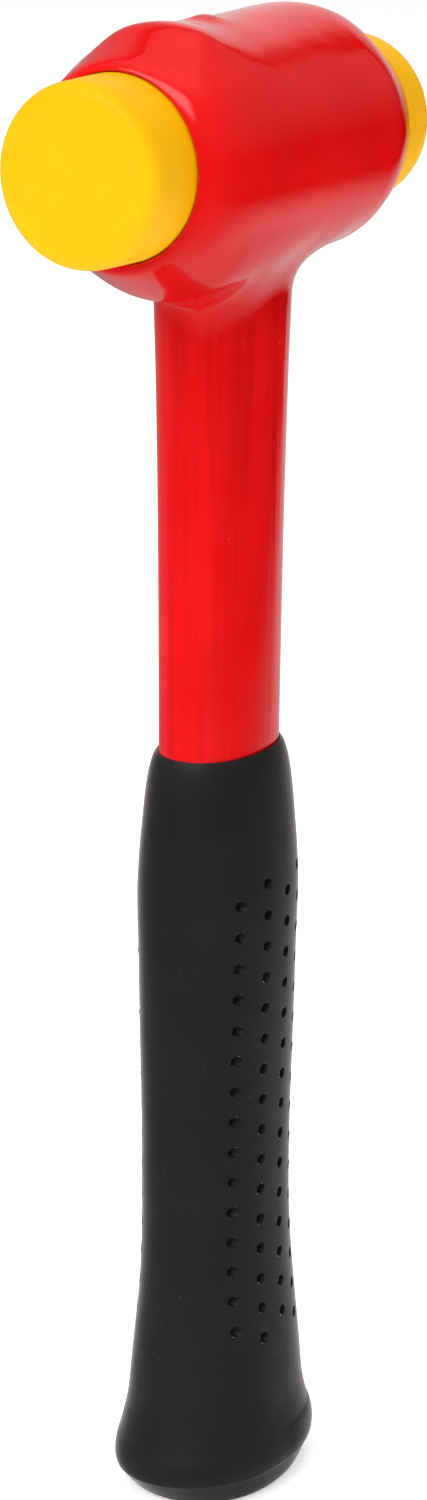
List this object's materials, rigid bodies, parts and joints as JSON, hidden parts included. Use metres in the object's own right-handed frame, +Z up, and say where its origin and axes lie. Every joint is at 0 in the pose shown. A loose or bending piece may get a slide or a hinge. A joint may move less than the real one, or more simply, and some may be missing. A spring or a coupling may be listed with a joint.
{
  "type": "dead blow mallet",
  "caption": "Insulated dead blow mallet: shot-filled steel head on an oval tube handle in one red dipped coat, with press-in yellow nylon faces and a black rubber grip.",
  "frame": {"origin": "centre of the flat butt under the grip, where the mallet can stand", "axes": "+Z up the handle to the head, +X along the head towards the right face, +Y across the head"},
  "size_m": [0.11, 0.0502, 0.314],
  "materials": {
    "red_vinyl": "dipped glossy vinyl",
    "yellow_nylon": "satin moulded nylon",
    "black_rubber": "matte moulded rubber",
    "black_plastic": "moulded plastic",
    "plain_steel": "plain formed steel",
    "weld_steel": "weld bead",
    "bright_steel": "bright hardened steel"
  },
  "bodies": {
    "mallet": {"insulating_coat": "red_vinyl", "head_housing": "plain_steel", "filler_plug": "plain_steel", "shot_plug_left": "plain_steel", "shot_plug_right": "plain_steel", "circlip_left": "bright_steel", "circlip_right": "bright_steel", "handle_tube": "plain_steel", "weld_bead": "weld_steel", "tube_plug": "black_plastic", "grip": "black_rubber"},
    "left_face": {"face_left": "yellow_nylon"},
    "right_face": {"face_right": "yellow_nylon"},
    "shot": {"shot_ball_01": "bright_steel", "shot_ball_02": "bright_steel", "shot_ball_03": "bright_steel", "shot_ball_04": "bright_steel", "shot_ball_05": "bright_steel", "shot_ball_06": "bright_steel", "shot_ball_07": "bright_steel", "shot_ball_08": "bright_steel", "shot_ball_09": "bright_steel", "shot_ball_10": "bright_steel", "shot_ball_11": "bright_steel", "shot_ball_12": "bright_steel", "shot_ball_13": "bright_steel", "shot_ball_14": "bright_steel", "shot_ball_15": "bright_steel", "shot_ball_16": "bright_steel", "shot_ball_17": "bright_steel", "shot_ball_18": "bright_steel", "shot_ball_19": "bright_steel", "shot_ball_20": "bright_steel", "shot_ball_21": "bright_steel", "shot_ball_22": "bright_steel", "shot_ball_23": "bright_steel", "shot_ball_24": "bright_steel", "shot_ball_25": "bright_steel", "shot_ball_26": "bright_steel", "shot_ball_27": "bright_steel", "shot_ball_28": "bright_steel", "shot_ball_29": "bright_steel", "shot_ball_30": "bright_steel", "shot_ball_31": "bright_steel", "shot_ball_32": "bright_steel", "shot_ball_33": "bright_steel", "shot_ball_34": "bright_steel", "shot_ball_35": "bright_steel", "shot_ball_36": "bright_steel"}
  },
  "joints": [
    {"name": "left_face_pull", "type": "slide", "parent": "mallet", "child": "left_face", "axis": [-1, 0, 0], "range_m": [0, 0.008]},
    {"name": "right_face_pull", "type": "slide", "parent": "mallet", "child": "right_face", "axis": [1, 0, 0], "range_m": [0, 0.008]},
    {"name": "shot_slide", "type": "slide", "parent": "mallet", "child": "shot", "axis": [1, 0, 0], "range_m": [-0.008, 0.008]}
  ]
}
